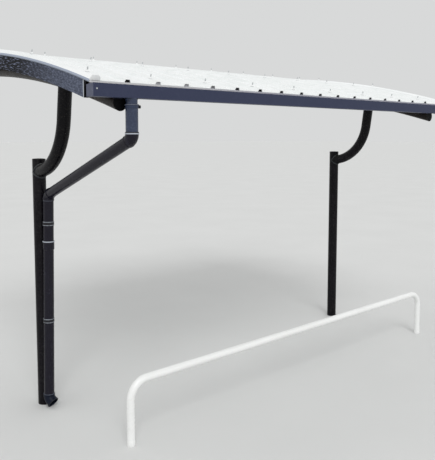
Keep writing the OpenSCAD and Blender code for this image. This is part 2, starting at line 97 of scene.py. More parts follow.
# Guard rail
RAIL_R = 0.02135
RAIL_Y = -0.776
RAIL_XS = (0.120, 2.874)

SHARP_ANGLE = math.radians(30)      # an edge that turns by more stays sharp


# ---- camera, at the photograph's angle ----

PHOTO_H = 460
FOCAL_PX = 597.83
SENSOR = 36.0
OPTICAL_AXIS_PX = 188.05
CAMERA_AT = Vector((-1.4958, -3.3419, 1.6019))
CAMERA_YAW = math.radians(49.255)
CAMERA_DIP = math.radians(4.846)


def photograph_camera():
    lens = bpy.data.cameras.new("camera")
    lens.sensor_width = SENSOR
    lens.lens = FOCAL_PX * SENSOR / PHOTO_H
    lens.shift_y = (OPTICAL_AXIS_PX - PHOTO_H / 2) / PHOTO_H
    camera = bpy.data.objects.new("camera", lens)
    bpy.context.scene.collection.objects.link(camera)
    ahead = Vector((
        math.cos(CAMERA_YAW) * math.cos(CAMERA_DIP),
        math.sin(CAMERA_YAW) * math.cos(CAMERA_DIP),
        -math.sin(CAMERA_DIP),
    ))
    camera.location = CAMERA_AT
    camera.rotation_euler = ahead.to_track_quat("-Z", "Y").to_euler()
    bpy.context.scene.camera = camera


# ---- materials ----

# Sockets of a Mix node that mixes colours
MIX, FIRST, SECOND, MIXED = 0, 6, 7, 2


def srgb(code):
    """The linear colour, with alpha, of an sRGB hex value."""
    channels = [int(code[i:i + 2], 16) / 255 for i in (1, 3, 5)]
    linear = [c / 12.92 if c <= 0.04045 else ((c + 0.055) / 1.055) ** 2.4 for c in channels]
    return (*linear, 1.0)


def per_mm(size):
    """The texture scale, on coordinates in metres, at which one pattern cell is this many mm."""
    return 1000.0 / size


def add(tree, kind, inputs=None, **settings):
    """Adds a shader node with its own settings, and returns its outputs. Its inputs are sockets
    to link, hex colours, or other values."""
    made = tree.nodes.new(f"ShaderNode{kind}")
    for name, value in settings.items():
        setattr(made, name, value)
    for name, value in (inputs or {}).items():
        if isinstance(value, bpy.types.NodeSocket):
            tree.links.new(value, made.inputs[name])
        else:
            made.inputs[name].default_value = srgb(value) if isinstance(value, str) else value
    return made.outputs


def new_material(name):
    """A material with an empty tree, and the object coordinates that its patterns read."""
    material = bpy.data.materials.new(name)
    material.use_nodes = True
    tree = material.node_tree
    tree.nodes.clear()
    return material, tree, add(tree, "TexCoord")["Object"]


def surfaced(material, inputs):
    """Gives the material its shader, from the sockets and values made for it."""
    tree = material.node_tree
    shader = add(tree, "BsdfPrincipled", inputs)
    add(tree, "OutputMaterial", {"Surface": shader["BSDF"]})
    return material


def grained(tree, place, grain_mm, depth_mm, detail=1.0):
    """The normal of a skin with a soft, cloudy grain, this many mm wide and deep."""
    height = add(tree, "TexNoise", {
        "Vector": place, "Scale": per_mm(grain_mm), "Detail": detail, "Roughness": 0.5})
    return add(tree, "Bump", {
        "Height": height["Fac"], "Strength": 1.0, "Distance": depth_mm / 1000})["Normal"]


def past_gable_line(tree, place, reach):
    """1 on what lies further than this outside the posts' planes, at either gable."""
    blur = 0.0001
    middle = POST_SPACING / 2
    along = add(tree, "SeparateXYZ", {"Vector": place})["X"]
    off_middle = add(tree, "Math", {0: along, 1: middle}, operation="SUBTRACT")["Value"]
    either_way = add(tree, "Math", {0: off_middle}, operation="ABSOLUTE")["Value"]
    return add(tree, "MapRange", {
        "Value": either_way, "From Min": middle + reach - blur,
        "From Max": middle + reach + blur})["Result"]


def arch_place(tree, place):
    """Coordinates that follow the roof: X, the length round its arch, the height over its sheet."""
    from_axis = add(tree, "VectorMath", {
        0: place, 1: (0.0, APEX_Y, ARCH_Z)}, operation="SUBTRACT")["Vector"]
    part = add(tree, "SeparateXYZ", {"Vector": from_axis})
    turn = add(tree, "Math", {0: part["Y"], 1: part["Z"]}, operation="ARCTAN2")["Value"]
    length = add(tree, "Math", {0: turn, 1: ROOF_R}, operation="MULTIPLY")["Value"]
    y_squared = add(tree, "Math", {0: part["Y"], 1: part["Y"]}, operation="MULTIPLY")["Value"]
    z_squared = add(tree, "Math", {0: part["Z"], 1: part["Z"]}, operation="MULTIPLY")["Value"]
    squares = add(tree, "Math", {0: y_squared, 1: z_squared}, operation="ADD")["Value"]
    radius = add(tree, "Math", {0: squares}, operation="SQRT")["Value"]
    height = add(tree, "Math", {0: radius, 1: ROOF_R}, operation="SUBTRACT")["Value"]
    return add(tree, "CombineXYZ", {"X": part["X"], "Y": length, "Z": height})["Vector"]


def brushed_enamel(name, paint, faded, dust_and_highlight, top_dust_and_highlight, peel_mm, peel_depth_mm, gloss, matt):
    """Black alkyd enamel, brushed on steel tube: a deep wet black, broken by a slight orange peel,
    by dried water spots, and by a little dust on what looks up, where a painted highlight lies too."""
    material, tree, place = new_material(name)
    patch_mm = 160
    patches = add(tree, "TexNoise", {
        "Vector": place, "Scale": per_mm(patch_mm), "Detail": 4.0, "Roughness": 0.6})["Fac"]
    fading = add(tree, "MapRange", {
        "Value": patches, "From Min": 0.45, "From Max": 0.75})["Result"]
    colour = add(tree, "Mix", {
        MIX: fading, FIRST: paint, SECOND: faded}, data_type="RGBA")[MIXED]
    # Real spots are 2 to 5 mm wide; they are drawn 12 mm wide so that they show
    spot_mm = 12
    spots = add(tree, "TexNoise", {
        "Vector": place, "Scale": per_mm(spot_mm), "Detail": 2.0, "Roughness": 0.7})["Fac"]
    spotted = add(tree, "MapRange", {
        "Value": spots, "From Min": 0.52, "From Max": 0.72, "To Max": 0.22})["Result"]
    colour = add(tree, "Mix", {
        MIX: spotted, FIRST: colour, SECOND: dust_and_highlight}, data_type="RGBA")[MIXED]
    # Dust and painted highlight: what looks up is drawn paler, as the lit upper side of each tube
    facing = add(tree, "NewGeometry")["Normal"]
    facing_up = add(tree, "SeparateXYZ", {"Vector": facing})["Z"]
    upward = add(tree, "MapRange", {"Value": facing_up, "From Min": 0.1})["Result"]
    settled_dust_and_highlight = add(tree, "MapRange", {
        "Value": spots, "From Min": 0.35, "From Max": 0.7,
        "To Min": 0.3 * top_dust_and_highlight, "To Max": top_dust_and_highlight})["Result"]
    dust_and_highlight_on_top = add(tree, "Math", {0: upward, 1: settled_dust_and_highlight}, operation="MULTIPLY")["Value"]
    colour = add(tree, "Mix", {
        MIX: dust_and_highlight_on_top, FIRST: colour, SECOND: dust_and_highlight}, data_type="RGBA")[MIXED]
    sheen = add(tree, "MapRange", {
        "Value": spots, "From Min": 0.35, "From Max": 0.65,
        "To Min": gloss, "To Max": matt})["Result"]
    return surfaced(material, {
        "Base Color": colour, "Roughness": sheen, "Specular IOR Level": 0.13,
        "Normal": grained(tree, place, peel_mm, peel_depth_mm, detail=2.0)})


def moulded_plastic(name, body, scuffed, gloss, matt, shine=0.5):
    """Extruded or moulded PVC: an even satin skin with a faint draw grain and pale scuffs."""
    material, tree, place = new_material(name)
    scuff_mm = 45
    scuffs = add(tree, "TexNoise", {
        "Vector": place, "Scale": per_mm(scuff_mm), "Detail": 5.0, "Roughness": 0.7})["Fac"]
    # The draw grain is finer than 1 mm; its cloudy part is drawn 9 mm wide so that it shows
    cloud_mm = 9
    cloud = add(tree, "TexNoise", {
        "Vector": place, "Scale": per_mm(cloud_mm), "Detail": 2.0, "Roughness": 0.6})["Fac"]
    rubbed_and_highlit = add(tree, "MapRange", {
        "Value": scuffs, "From Min": 0.55, "From Max": 0.8, "To Max": 0.6})["Result"]
    clouded = add(tree, "MapRange", {
        "Value": cloud, "From Min": 0.5, "From Max": 0.75, "To Max": 0.3})["Result"]
    worn = add(tree, "Math", {0: rubbed_and_highlit, 1: clouded}, operation="ADD")["Value"]
    colour = add(tree, "Mix", {
        MIX: worn, FIRST: body, SECOND: scuffed}, data_type="RGBA")[MIXED]
    sheen = add(tree, "MapRange", {
        "Value": scuffs, "From Min": 0.3, "From Max": 0.7,
        "To Min": gloss, "To Max": matt})["Result"]
    return surfaced(material, {
        "Base Color": colour, "Roughness": sheen, "Specular IOR Level": shine,
        "Normal": grained(tree, place, grain_mm=1.5, depth_mm=0.02)})


def coil_coat(tree, place, coat, weathered, gloss, matt, streak_axis, along=None):
    """Colour coating on steel sheet, as inputs for a shader: a flat satin film with fine grain,
    and rain streaks along one axis of the object, or of other coordinates."""
    drawn_out = 0.06
    stretch = [drawn_out if axis == streak_axis else 1.0 for axis in "XYZ"]
    run = add(tree, "Mapping", {
        "Vector": place if along is None else along, "Scale": stretch})["Vector"]
    streak_mm = 24
    streaks = add(tree, "TexNoise", {
        "Vector": run, "Scale": per_mm(streak_mm), "Detail": 4.0, "Roughness": 0.65})["Fac"]
    film = add(tree, "MapRange", {
        "Value": streaks, "From Min": 0.42, "From Max": 0.72})["Result"]
    colour = add(tree, "Mix", {
        MIX: film, FIRST: coat, SECOND: weathered}, data_type="RGBA")[MIXED]
    sheen = add(tree, "MapRange", {
        "Value": streaks, "From Min": 0.3, "From Max": 0.7,
        "To Min": gloss, "To Max": matt})["Result"]
    return {
        "Base Color": colour, "Roughness": sheen,
        "Normal": grained(tree, place, grain_mm=2.0, depth_mm=0.02)}


def coated_sheet(name, coat, weathered, gloss, matt, streak_axis):
    """Colour coated steel sheet: flat and satin, with rain streaks along one axis."""
    material, tree, place = new_material(name)
    return surfaced(material, coil_coat(tree, place, coat, weathered, gloss, matt, streak_axis))


def flashing_coat(name, top, streaked, leg, leg_foot):
    """Coated steel flashing: white like the sheet where it lies on the roof; the leg over the
    fascia is drawn lilac grey as painted shade, and darker along the leg's foot."""
    material, tree, place = new_material(name)
    arch = arch_place(tree, place)
    film = coil_coat(tree, place, top, streaked, 0.36, 0.52, "Y", along=arch)
    over_sheet = add(tree, "SeparateXYZ", {"Vector": arch})["Z"]
    over_foot = add(tree, "MapRange", {
        "Value": over_sheet, "From Min": -0.0046, "From Max": -0.0034})["Result"]
    # Painted shade: the leg over the fascia is drawn lilac grey, darker along its foot
    grey = add(tree, "Mix", {
        MIX: over_foot, FIRST: leg_foot, SECOND: leg}, data_type="RGBA")[MIXED]
    half_thick = FLASHING_T / 2
    outer = past_gable_line(tree, place, -GABLE_X + half_thick)
    film["Base Color"] = add(tree, "Mix", {
        MIX: outer, FIRST: film["Base Color"], SECOND: grey}, data_type="RGBA")[MIXED]
    return surfaced(material, film)


def highlit_trim(name, highlight_tone, tone, streaked):
    """Coated steel drip trim: lilac grey, drawn nearly white towards the open near end as a painted
    highlight."""
    material, tree, place = new_material(name)
    film = coil_coat(tree, place, tone, streaked, 0.4, 0.55, "X")
    # Painted highlight: nearly white up to X 0.15, fading to the plain tone by X 0.95
    along = add(tree, "SeparateXYZ", {"Vector": place})["X"]
    highlight_near_end = add(tree, "MapRange", {
        "Value": along, "From Min": 0.15, "From Max": 0.95, "To Min": 1.0, "To Max": 0.0})
    film["Base Color"] = add(tree, "Mix", {
        MIX: highlight_near_end["Result"], FIRST: film["Base Color"], SECOND: highlight_tone,
    }, data_type="RGBA")[MIXED]
    return surfaced(material, film)


def embossed_slate(name, coat, ridge, faded, reflection_ridge, bare_edge_and_highlight, painted_gap_shade):
    """Embossed slate coating on folded steel: thin raised dashes that run with the fascia over a
    near black film, drawn a speckled grey towards the open front as painted reflection, a painted
    highlight on the bare fold at its end, and painted shade in front of that fold."""
    material, tree, place = new_material(name)
    arch = arch_place(tree, place)
    # The real emboss is about 2 mm wide; it is drawn 6 mm wide so that it shows
    emboss_mm = 6
    long_run = add(tree, "Mapping", {"Vector": arch, "Scale": (0.14, 0.14, 1.0)})["Vector"]
    dashes = add(tree, "TexNoise", {
        "Vector": long_run, "Scale": per_mm(emboss_mm), "Detail": 2.0, "Roughness": 0.6})["Fac"]
    ridges = add(tree, "MapRange", {
        "Value": dashes, "From Min": 0.53, "From Max": 0.63})["Result"]
    short_run = add(tree, "Mapping", {"Vector": arch, "Scale": (0.4, 0.4, 1.0)})["Vector"]
    speckle = add(tree, "TexNoise", {
        "Vector": short_run, "Scale": per_mm(emboss_mm), "Detail": 2.0, "Roughness": 0.7})["Fac"]
    front_speckle = add(tree, "MapRange", {
        "Value": speckle, "From Min": 0.38, "From Max": 0.62})["Result"]
    # Painted reflection: towards the open front the film is drawn a speckled grey, for the sheen of
    # the sky on it
    round_arch = add(tree, "SeparateXYZ", {"Vector": arch})["Y"]
    painted_reflection_front = add(tree, "MapRange", {
        "Value": round_arch, "From Min": -1.95, "From Max": -1.35,
        "To Min": 1.0, "To Max": 0.0})["Result"]
    sound = add(tree, "Mix", {
        MIX: ridges, FIRST: coat, SECOND: ridge}, data_type="RGBA")[MIXED]
    dull = add(tree, "Mix", {
        MIX: front_speckle, FIRST: faded, SECOND: reflection_ridge}, data_type="RGBA")[MIXED]
    colour = add(tree, "Mix", {
        MIX: painted_reflection_front, FIRST: sound, SECOND: dull}, data_type="RGBA")[MIXED]
    # The bare fold edge is 2 mm wide; its painted highlight is drawn 6 mm wide so that it shows. It
    # stands plumb, and the wedge of sheet in front of it is painted shade, as dark as the gap
    # behind the gutter
    edge_w = 0.006
    blur = 0.001
    outer_skin = 0.0005
    depth = add(tree, "SeparateXYZ", {"Vector": place})["Y"]
    highlight_strip = add(tree, "MapRange", {
        "Value": depth, "From Min": FASCIA_FRONT_Y + edge_w,
        "From Max": FASCIA_FRONT_Y + edge_w + blur, "To Min": 1.0, "To Max": 0.0})["Result"]
    outer = past_gable_line(tree, place, -GABLE_X - outer_skin)
    edge = add(tree, "Math", {0: highlight_strip, 1: outer}, operation="MULTIPLY")["Value"]
    colour = add(tree, "Mix", {
        MIX: edge, FIRST: colour, SECOND: bare_edge_and_highlight}, data_type="RGBA")[MIXED]
    # Painted shade: all in front of the plumb line is drawn as dark as the gap behind the gutter
    painted_shade_wedge = add(tree, "MapRange", {
        "Value": depth, "From Min": FASCIA_FRONT_Y - blur / 2,
        "From Max": FASCIA_FRONT_Y + blur / 2, "To Min": 1.0, "To Max": 0.0})["Result"]
    colour = add(tree, "Mix", {
        MIX: painted_shade_wedge, FIRST: colour, SECOND: painted_gap_shade}, data_type="RGBA")[MIXED]
    sheen = add(tree, "MapRange", {
        "Value": speckle, "From Min": 0.3, "From Max": 0.7,
        "To Min": 0.5, "To Max": 0.7})["Result"]
    ridge_mm = 0.12
    raised = add(tree, "Bump", {
        "Height": ridges, "Strength": 1.0, "Distance": ridge_mm / 1000})["Normal"]
    return surfaced(material, {
        "Base Color": colour, "Roughness": sheen, "Specular IOR Level": 0.12, "Normal": raised})


def bare_edged_strap(name, paint, bare_edge_and_highlight):
    """Painted steel strap: black like the pipe, its cut edges rubbed down to bright zinc and drawn
    as the painted highlight that they catch.
    """
    material, tree, place = new_material(name)
    # The cut edges are 1 to 2 mm wide; they are drawn 4 mm wide so that they show
    drawn = 0.004
    blur = 0.0005
    inner, inmost = 0.012, 0.013
    height = add(tree, "SeparateXYZ", {"Vector": place})["Z"]
    # Rubbed edges and painted highlight: bright bands along the top and bottom edge of each clamp
    rubbed_and_highlit = None
    for foot in CLAMP_ZS:
        for edge, way in ((foot + drawn, 1), (foot + CLAMP_H - drawn, -1)):
            near = add(tree, "MapRange", {
                "Value": height, "From Min": edge + way * blur,
                "From Max": edge - way * blur})["Result"]
            inside = add(tree, "MapRange", {
                "Value": height, "From Min": edge - way * inner,
                "From Max": edge - way * inmost, "To Min": 1.0, "To Max": 0.0})["Result"]
            band = add(tree, "Math", {0: near, 1: inside}, operation="MULTIPLY")["Value"]
            if rubbed_and_highlit is None:
                rubbed_and_highlit = band
            else:
                rubbed_and_highlit = add(tree, "Math", {0: rubbed_and_highlit, 1: band}, operation="ADD")["Value"]
    patch_mm = 10
    patches = add(tree, "TexNoise", {
        "Vector": place, "Scale": per_mm(patch_mm), "Detail": 3.0, "Roughness": 0.5})["Fac"]
    patchy = add(tree, "MapRange", {
        "Value": patches, "From Min": 0.35, "From Max": 0.55, "To Min": 0.4})["Result"]
    wear_and_highlight = add(tree, "Math", {0: rubbed_and_highlit, 1: patchy}, operation="MULTIPLY")["Value"]
    colour = add(tree, "Mix", {MIX: wear_and_highlight, FIRST: paint, SECOND: bare_edge_and_highlight}, data_type="RGBA")[MIXED]
    sheen = add(tree, "MapRange", {"Value": wear_and_highlight, "To Min": 0.42, "To Max": 0.34})["Result"]
    return surfaced(material, {
        "Base Color": colour, "Roughness": sheen, "Specular IOR Level": 0.35,
        "Normal": grained(tree, place, grain_mm=4, depth_mm=0.04, detail=2.0)})


def banded_pvc(name, band, ear):
    """The outlet's band: slate plastic like the pipe, and a black ear where its bolt is."""
    material, tree, place = new_material(name)
    blur = 0.0005
    along = add(tree, "SeparateXYZ", {"Vector": place})["X"]
    on_ear = add(tree, "MapRange", {
        "Value": along, "From Min": OUTLET_X + SOCKET_R,
        "From Max": OUTLET_X + SOCKET_R + blur})["Result"]
    colour = add(tree, "Mix", {MIX: on_ear, FIRST: band, SECOND: ear}, data_type="RGBA")[MIXED]
    return surfaced(material, {
        "Base Color": colour, "Roughness": 0.4, "Specular IOR Level": 0.25,
        "Normal": grained(tree, place, grain_mm=1.5, depth_mm=0.02)})


def zinc(name, bright, dull, spangle_mm, rough):
    """Galvanised steel: pale spangle a few mm across, dulled by the weather."""
    uneven = 0.1
    material, tree, place = new_material(name)
    spangle = add(tree, "TexVoronoi", {"Vector": place, "Scale": per_mm(spangle_mm)})["Color"]
    tone = add(tree, "SeparateColor", {"Color": spangle})["Red"]
    colour = add(tree, "Mix", {MIX: tone, FIRST: bright, SECOND: dull}, data_type="RGBA")[MIXED]
    sheen = add(tree, "MapRange", {
        "Value": tone, "To Min": rough - uneven, "To Max": rough + uneven})["Result"]
    return surfaced(material, {
        "Base Color": colour, "Metallic": 0.85, "Roughness": sheen,
        "Normal": grained(tree, place, grain_mm=3, depth_mm=0.03, detail=2.0)})


def foam(name, pore, tint, faded):
    """Closed cell EPDM foam: dull, with open pores about 1 mm across, and drawn paler beside the
    near post, as painted light where the lamp reaches it."""
    material, tree, place = new_material(name)
    pore_mm = 1.2
    pore_depth_mm = 0.3
    depth = add(tree, "TexVoronoi", {"Vector": place, "Scale": per_mm(pore_mm)})["Distance"]
    pored = add(tree, "Mix", {MIX: depth, FIRST: pore, SECOND: tint}, data_type="RGBA")[MIXED]
    along = add(tree, "SeparateXYZ", {"Vector": place})["X"]
    # Painted light: paler from X 0.10 to 0.72, beside the near post, where the rib ends are drawn
    # as lit
    past_post = add(tree, "MapRange", {
        "Value": along, "From Min": 0.10, "From Max": 0.15})["Result"]
    out_of_shade = add(tree, "MapRange", {
        "Value": along, "From Min": 0.40, "From Max": 0.72,
        "To Min": 1.0, "To Max": 0.0})["Result"]
    painted_light_past_post = add(tree, "Math", {0: past_post, 1: out_of_shade}, operation="MULTIPLY")["Value"]
    colour = add(tree, "Mix", {
        MIX: painted_light_past_post, FIRST: pored, SECOND: faded}, data_type="RGBA")[MIXED]
    pitted = add(tree, "Bump", {
        "Height": depth, "Strength": 1.0, "Distance": pore_depth_mm / 1000})["Normal"]
    return surfaced(material, {"Base Color": colour, "Roughness": 0.95, "Normal": pitted})


FINISHES = {material.name: material for material in (
    brushed_enamel(
        "black_enamel_posts", paint="#0c0a0f", faded="#17141a", dust_and_highlight="#4a4848", top_dust_and_highlight=0.25,
        peel_mm=3.0, peel_depth_mm=0.05, gloss=0.26, matt=0.44),
    brushed_enamel(
        "black_enamel_arms", paint="#09080c", faded="#131117", dust_and_highlight="#514d48", top_dust_and_highlight=0.35,
        peel_mm=4.5, peel_depth_mm=0.12, gloss=0.22, matt=0.40),
    # The frame's black is drawn warm brown: painted reflection of the warm light that the rafters'
    # sides catch
    brushed_enamel(
        "black_enamel_frame", paint="#1b1716", faded="#2a2320", dust_and_highlight="#544a43", top_dust_and_highlight=0.30,
        peel_mm=3.0, peel_depth_mm=0.06, gloss=0.30, matt=0.50),
    moulded_plastic(
        "abs_plug", body="#08080a", scuffed="#131315", gloss=0.5, matt=0.65, shine=0.12),
    coated_sheet(
        "white_roof_coat", coat="#f3f5f5", weathered="#e7ebea", gloss=0.36, matt=0.5,
        streak_axis="Y"),
    # The fascia's faded greys are painted reflection, its bare edge colour a painted highlight, its
    # gap colour painted shade
    embossed_slate(
        "slate_fascia_coat", coat="#0a0b11", ridge="#6c7288", faded="#3e4353",
        reflection_ridge="#697083", bare_edge_and_highlight="#c3c8d0", painted_gap_shade="#0a0a0f"),
    flashing_coat(
        "white_flashing_coat", top="#f6f8f8", streaked="#e8ecec", leg="#a4adc0",
        leg_foot="#777f8d"),
    coated_sheet(
        "grey_flashing_coat", coat="#a4adc0", weathered="#8f98aa", gloss=0.4, matt=0.55,
        streak_axis="X"),
    highlit_trim("pale_trim_coat", highlight_tone="#fbfbfd", tone="#d6d6e2", streaked="#c8c9d6"),
    moulded_plastic(
        "slate_gutter_pvc", body="#393e54", scuffed="#44495e", gloss=0.40, matt=0.55, shine=0.12),
    moulded_plastic(
        "grey_cap_pvc", body="#53576a", scuffed="#6a6e80", gloss=0.38, matt=0.5, shine=0.25),
    moulded_plastic(
        "slate_pipe_pvc", body="#30394f", scuffed="#556077", gloss=0.16, matt=0.30, shine=0.4),
    banded_pvc("slate_band_pvc", band="#30394f", ear="#07070a"),
    moulded_plastic(
        "black_pipe_pvc", body="#15131e", scuffed="#292938", gloss=0.14, matt=0.30, shine=0.22),
    moulded_plastic(
        "navy_shoe_pvc", body="#0f1523", scuffed="#1f2838", gloss=0.30, matt=0.46, shine=0.15),
    bare_edged_strap("black_strap", paint="#12121a", bare_edge_and_highlight="#8b9098"),
    zinc("bright_bolt", bright="#d9dcdd", dull="#b9bcbe", spangle_mm=4, rough=0.38),
    zinc("dark_zinc_bolt", bright="#3c3d42", dull="#232428", spangle_mm=4, rough=0.45),
    moulded_plastic(
        "white_bolt_cap", body="#f6f7f7", scuffed="#e8eaea", gloss=0.35, matt=0.5, shine=0.4),
    foam("grey_bolt_seal", pore="#a3a6a9", tint="#d2d4d6", faded="#d2d4d6"),
    coated_sheet(
        "white_rail_enamel", coat="#f4f5f4", weathered="#eaebe9", gloss=0.22, matt=0.34,
        streak_axis="X"),
    # The rib closures' black is painted shade, the dark inside the open rib ends
    foam("rib_end_foam_and_shade", pore="#060607", tint="#101013", faded="#b2b3b7"),
    brushed_enamel(
        "painted_weld", paint="#34363a", faded="#44474b", dust_and_highlight="#74776f", top_dust_and_highlight=0.5,
        peel_mm=3.0, peel_depth_mm=0.25, gloss=0.24, matt=0.42),
    # Painted highlights: the pale and dull bead colours stand in for the glint on the rims of the
    # pipe's joints
    moulded_plastic(
        "pale_joint_bead", body="#a9afb9", scuffed="#cbd0d6", gloss=0.35, matt=0.5),
    moulded_plastic(
        "dull_joint_bead", body="#5b606d", scuffed="#8b919c", gloss=0.4, matt=0.55, shine=0.3),
)}

NODE_FINISHES = {
    "black_enamel_posts": ["post_near", "post_far", "post_cap_near", "post_cap_far"],
    "black_enamel_arms": ["arm_near", "arm_far"],
    "black_enamel_frame": [
        "rafter_near", "rafter_far", "cleats_near", "cleats_far", "purlin_front",
        "purlin_mid_front", "purlin_mid_back", "purlin_back", "gutter_hangers",
    ],
    "abs_plug": ["rafter_plugs_near", "rafter_plugs_far"],
    "white_roof_coat": ["roof_sheet_near", "roof_sheet_middle", "roof_sheet_far"],
    "slate_fascia_coat": ["gable_fascia_near", "gable_fascia_far", "back_fascia"],
    "white_flashing_coat": ["gable_flashing_near", "gable_flashing_far"],
    "grey_flashing_coat": ["back_flashing"],
    "pale_trim_coat": ["eave_trim"],
    "slate_gutter_pvc": ["gutter"],
    "grey_cap_pvc": ["gutter_cap_near", "gutter_cap_far"],
    "slate_pipe_pvc": ["outlet", "pipe_drop"],
    "slate_band_pvc": ["outlet_band"],
    "black_pipe_pvc": [
        "elbow_upper", "pipe_run", "elbow_lower", "pipe_stack_upper", "pipe_stack_lower",
    ],
    "navy_shoe_pvc": ["pipe_shoe"],
    "black_strap": ["pipe_clamps"],
    "white_rail_enamel": ["guard_rail"],
}


def dress(piece, finish):
    piece.data.materials.clear()
    piece.data.materials.append(FINISHES[finish])


# ---- modelling ----

def clear_selection():
    bpy.ops.object.select_all(action="DESELECT")


def only(piece):
    """Makes this the one selected object, in object mode."""
    if bpy.context.object is not None and bpy.context.object.mode != "OBJECT":
        bpy.ops.object.mode_set(mode="OBJECT")
    clear_selection()
    piece.select_set(True)
    bpy.context.view_layer.objects.active = piece


def opened(piece):
    """Opens this piece in edit mode, with all of it selected."""
    only(piece)
    bpy.ops.object.mode_set(mode="EDIT")
    bpy.ops.mesh.select_all(action="SELECT")


def turned_out(piece):
    """Turns the faces of a closed form outwards, and leaves edit mode."""
    opened(piece)
    bpy.ops.mesh.normals_make_consistent(inside=False)
    bpy.ops.object.mode_set(mode="OBJECT")


def started(name):
    """Names the primitive just added."""
    piece = bpy.context.object
    piece.name = piece.data.name = name
    return piece


def lathed(name, rings, sides):
    """A form turned round Z: a circle extruded and scaled from ring to ring of (radius, height)."""
    clear_selection()
    radius, height = rings[0]
    bpy.ops.mesh.primitive_circle_add(
        vertices=sides, radius=radius, fill_type="NGON", location=(0, 0, height))
    piece = started(name)
    bpy.ops.object.transform_apply(location=True, rotation=True, scale=True)
    opened(piece)
    for next_radius, next_height in rings[1:]:
        bpy.ops.mesh.extrude_region_move(
            TRANSFORM_OT_translate={"value": (0, 0, next_height - height)})
        grow = next_radius / radius
        bpy.ops.transform.resize(value=(grow, grow, 1), center_override=(0, 0, next_height))
        radius, height = next_radius, next_height
    turned_out(piece)
    bpy.ops.object.shade_smooth_by_angle(angle=SHARP_ANGLE)
    return piece


def ring_band(name, inner, outer, height):
    """An open ring with rounded edges, standing round Z."""
    sides = 64
    rounding = min(height, outer - inner) * 0.3
    clear_selection()
    bpy.ops.mesh.primitive_circle_add(vertices=sides, radius=inner, fill_type="NOTHING")
    piece = started(name)
    opened(piece)
    bpy.ops.mesh.extrude_region_move(TRANSFORM_OT_translate={"value": (0, 0, 0)})
    grow = outer / inner
    bpy.ops.transform.resize(value=(grow, grow, 1), center_override=(0, 0, 0))
    bpy.ops.mesh.select_all(action="SELECT")
    bpy.ops.mesh.extrude_region_move(TRANSFORM_OT_translate={"value": (0, 0, height)})
    turned_out(piece)
    soften = piece.modifiers.new("soften", "BEVEL")
    soften.width = rounding
    soften.segments = 2
    soften.limit_method = "ANGLE"
    soften.angle_limit = SHARP_ANGLE
    bpy.ops.object.modifier_apply(modifier=soften.name)
    bpy.ops.object.shade_smooth_by_angle(angle=SHARP_ANGLE)
    return piece


def joined(name, pieces):
    only(pieces[0])
    for piece in pieces[1:]:
        piece.select_set(True)
    bpy.ops.object.join()
    return started(name)


def placed(piece, matrix):
    """Moves a piece to its place, and leaves its object at the origin, unturned and unscaled."""
    only(piece)
    piece.matrix_world = matrix
    bpy.ops.object.transform_apply(location=True, rotation=True, scale=True)
    return piece


def copied(piece, name):
    only(piece)
    bpy.ops.object.duplicate(linked=False)
    return started(name)


def finished(piece, finish):
    """Dresses a new piece, and fixes it to the shelter's one body."""
    dress(piece, finish)
    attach(piece, "root")
    return piece


def on_arch(x, y, r):
    """The matrix that stands a piece on the arch at radius r, its Z along the radius."""
    tilt = math.asin((y - APEX_Y) / ROOF_R)
    at = Vector((x, APEX_Y + r * math.sin(tilt), ARCH_Z + r * math.cos(tilt)))
    return Matrix.Translation(at) @ Matrix.Rotation(-tilt, 4, "X")


# ---- roof bolts: seal, washer, nut and bare end of each hook bolt, on every second rib ----

WASHER_FOOT = 0.0018
NUT_FOOT = 0.0036
NUT_TOP = 0.0100


def bolt_seal():
    foot_r, waist_r, top_r = 0.0092, 0.0096, 0.0089
    waist_z, top_z = 0.0008, 0.0017
    return lathed("roof_bolt_seal", [(foot_r, 0), (waist_r, waist_z), (top_r, top_z)], sides=24)


def washer_and_nut():
    foot_r, rim_r, top_r = 0.0085, 0.0088, 0.0060
    rim_z = 0.0024
    washer = lathed(
        "washer", [(foot_r, WASHER_FOOT), (rim_r, rim_z), (top_r, NUT_FOOT)], sides=24)
    nut_r, end_r, chamfer_h = 0.0056, 0.0050, 0.0005
    nut = lathed("nut", [
        (end_r, NUT_FOOT), (nut_r, NUT_FOOT + chamfer_h),
        (nut_r, NUT_TOP - chamfer_h), (end_r, NUT_TOP),
    ], sides=6)
    return joined("roof_bolt", [washer, nut])


def bolt_stud():
    stud_r, tip_r = 0.0034, 0.0024
    into_nut, shoulder_z, tip_z = 0.0002, 0.0222, 0.0235
    return lathed("roof_bolt_stud", [
        (stud_r, NUT_TOP - into_nut), (stud_r, shoulder_z), (tip_r, tip_z)], sides=14)


def at_roof_bolts(name, master):
    """Copies the master to every bolt's seat: on every second rib, and on the gable flashings."""
    on_flashing = RIB_START - RIB_PITCH
    seats = [(x, FLASHING_CROWN) for x in (on_flashing, POST_SPACING - on_flashing)]
    seats += [(RIB_START + k * RIB_PITCH, SHEET_T + RIB_H) for k in range(1, RIBS, 2)]
    made = [
        placed(copied(master, name), on_arch(x, y, ROOF_R + top))
        for y in PURLIN_YS for x, top in seats
    ]
    bpy.data.objects.remove(master)
    return joined(name, made)


# ---- foam closures in the open ends of the ribs, black as painted shade inside the ribs ----

def rib_block(name, foot_w, top_w, depth, height):
    """A block with the section of a rib, standing on its foot at the origin."""
    looks_up = 0.9
    clear_selection()
    bpy.ops.mesh.primitive_cube_add(size=1, location=(0, 0, 0))
    block = started(name)
    opened(block)
    bpy.ops.transform.resize(value=(foot_w, depth, height))
    bpy.ops.transform.translate(value=(0, 0, height / 2))
    form = bmesh.from_edit_mesh(block.data)
    for face in form.faces:
        face.select = face.normal.z > looks_up
    form.select_flush_mode()
    bmesh.update_edit_mesh(block.data)
    bpy.ops.transform.resize(value=(top_w / foot_w, 1, 1), center_override=(0, 0, height))
    bpy.ops.object.mode_set(mode="OBJECT")
    return block


